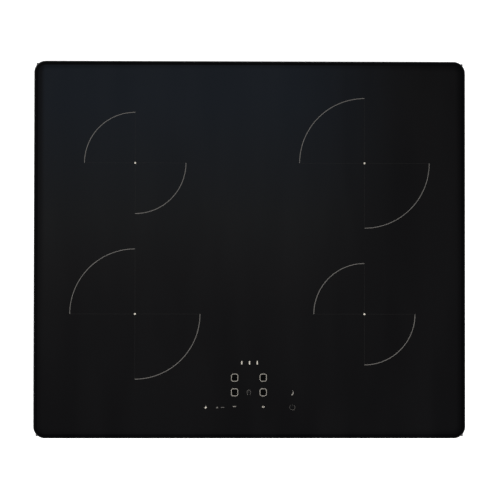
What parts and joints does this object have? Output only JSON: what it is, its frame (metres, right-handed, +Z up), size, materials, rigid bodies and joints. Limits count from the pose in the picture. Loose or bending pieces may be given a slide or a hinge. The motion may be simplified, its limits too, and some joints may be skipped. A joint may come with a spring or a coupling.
{
  "type": "induction cooktop",
  "caption": "Flat bevelled black glass cooktop with printed zone arcs, touch controls and a shallow vented sheet-steel tray that drops into a worktop cut-out.",
  "frame": {"origin": "middle of the underside of the tray, below the middle of the glass", "axes": "+X to the user's right, +Y to the rear, +Z up; the controls are at -Y"},
  "size_m": [0.595, 0.52, 0.056],
  "materials": {
    "glass_ceramic": "polished black glass-ceramic",
    "enamel_print": "fired enamel print",
    "seal_foam": "closed-cell foam",
    "silicone": "cured silicone",
    "rail_steel": "zinc-plated",
    "galvanised_steel": "hot-dip galvanised",
    "zinc_screw": "zinc-plated",
    "transistor_epoxy": "moulded epoxy",
    "capacitor_case": "moulded case",
    "choke_core": "coated core",
    "black_plastic": "moulded, fine texture",
    "grey_plastic": "moulded, fine texture",
    "terminal_plastic": "moulded",
    "coil_plastic": "moulded, heat resistant",
    "shaft_steel": "ground",
    "motor_case": "zinc-plated",
    "circuit_board": "solder mask",
    "display_case": "moulded",
    "conductive_foam": "foam",
    "brass": "plain",
    "lead_insulation": "silicone insulation",
    "aluminium": "mill finish",
    "insulation_fibre": "pressed mineral fibre",
    "clamp_steel": "zinc-plated",
    "ferrite": "sintered",
    "litz_wire": "enamelled litz",
    "sensor_silicone": "moulded silicone",
    "spring_steel": "drawn wire"
  },
  "bodies": {
    "hob": {"glass_top": "glass_ceramic", "surface_print": "enamel_print", "worktop_seal": "seal_foam", "glass_bond": "silicone", "glass_rails": "rail_steel", "bottom_tray": "galvanised_steel", "tray_screws": "zinc_screw", "clamp_screws": "zinc_screw", "inner_screws": "zinc_screw", "power_transistors": "transistor_epoxy", "resonance_capacitors": "capacitor_case", "filter_chokes": "choke_core", "fan_housing": "black_plastic", "fan_motor": "motor_case", "control_housing": "grey_plastic", "control_board": "circuit_board", "digit_displays": "display_case", "touch_pads": "conductive_foam", "terminal_box": "grey_plastic", "terminal_block": "terminal_plastic", "terminal_screws": "brass", "cable_gland": "black_plastic", "wiring_harness": "lead_insulation", "board_carrier_left": "grey_plastic", "power_board_left": "circuit_board", "heat_sink_left": "aluminium", "coil_plate_left": "aluminium", "insulation_sheet_left": "insulation_fibre", "board_carrier_right": "grey_plastic", "power_board_right": "circuit_board", "heat_sink_right": "aluminium", "coil_plate_right": "aluminium", "insulation_sheet_right": "insulation_fibre", "coil_springs_rear_left": "spring_steel", "coil_springs_rear_right": "spring_steel", "coil_springs_front_left": "spring_steel", "coil_springs_front_right": "spring_steel"},
    "fan_rotor": {"fan_impeller": "black_plastic", "fan_shaft": "shaft_steel"},
    "terminal_lid": {"terminal_cover": "grey_plastic"},
    "coil_rear_left": {"coil_former_rear_left": "coil_plastic", "ferrites_rear_left": "ferrite", "winding_rear_left": "litz_wire", "temp_sensor_rear_left": "sensor_silicone"},
    "coil_rear_right": {"coil_former_rear_right": "coil_plastic", "ferrites_rear_right": "ferrite", "winding_rear_right": "litz_wire", "temp_sensor_rear_right": "sensor_silicone"},
    "coil_front_left": {"coil_former_front_left": "coil_plastic", "ferrites_front_left": "ferrite", "winding_front_left": "litz_wire", "temp_sensor_front_left": "sensor_silicone"},
    "coil_front_right": {"coil_former_front_right": "coil_plastic", "ferrites_front_right": "ferrite", "winding_front_right": "litz_wire", "temp_sensor_front_right": "sensor_silicone"},
    "clamp_front_left_arm": {"clamp_front_left": "clamp_steel"},
    "clamp_front_right_arm": {"clamp_front_right": "clamp_steel"},
    "clamp_rear_left_arm": {"clamp_rear_left": "clamp_steel"},
    "clamp_rear_right_arm": {"clamp_rear_right": "clamp_steel"}
  },
  "joints": [
    {"name": "fan_spin", "type": "hinge", "parent": "hob", "child": "fan_rotor", "pos_m": [0, 0.15, 0.016], "axis": [0, 0, 1], "continuous": true},
    {"name": "terminal_cover_hinge", "type": "hinge", "parent": "hob", "child": "terminal_lid", "pos_m": [0.195, 0.1736, 0.003], "axis": [-1, 0, 0], "range_deg": [0, 100]},
    {"name": "coil_float_rear_left", "type": "slide", "parent": "hob", "child": "coil_rear_left", "axis": [0, 0, 1], "range_m": [-0.0025, 0], "stiffness_N_per_m": 3000, "springref_m": 0.005, "deforming": ["coil_springs_rear_left"]},
    {"name": "coil_float_rear_right", "type": "slide", "parent": "hob", "child": "coil_rear_right", "axis": [0, 0, 1], "range_m": [-0.0025, 0], "stiffness_N_per_m": 3000, "springref_m": 0.005, "deforming": ["coil_springs_rear_right"]},
    {"name": "coil_float_front_left", "type": "slide", "parent": "hob", "child": "coil_front_left", "axis": [0, 0, 1], "range_m": [-0.0025, 0], "stiffness_N_per_m": 3000, "springref_m": 0.005, "deforming": ["coil_springs_front_left"]},
    {"name": "coil_float_front_right", "type": "slide", "parent": "hob", "child": "coil_front_right", "axis": [0, 0, 1], "range_m": [-0.0025, 0], "stiffness_N_per_m": 3000, "springref_m": 0.005, "deforming": ["coil_springs_front_right"]},
    {"name": "clamp_swivel_front_left", "type": "hinge", "parent": "hob", "child": "clamp_front_left_arm", "pos_m": [-0.27, -0.204, 0.009], "axis": [0, 0, 1], "range_deg": [0, 90]},
    {"name": "clamp_swivel_front_right", "type": "hinge", "parent": "hob", "child": "clamp_front_right_arm", "pos_m": [0.27, -0.204, 0.009], "axis": [0, 0, -1], "range_deg": [0, 90]},
    {"name": "clamp_swivel_rear_left", "type": "hinge", "parent": "hob", "child": "clamp_rear_left_arm", "pos_m": [-0.27, 0.204, 0.009], "axis": [0, 0, -1], "range_deg": [0, 90]},
    {"name": "clamp_swivel_rear_right", "type": "hinge", "parent": "hob", "child": "clamp_rear_right_arm", "pos_m": [0.27, 0.204, 0.009], "axis": [0, 0, 1], "range_deg": [0, 90]}
  ]
}
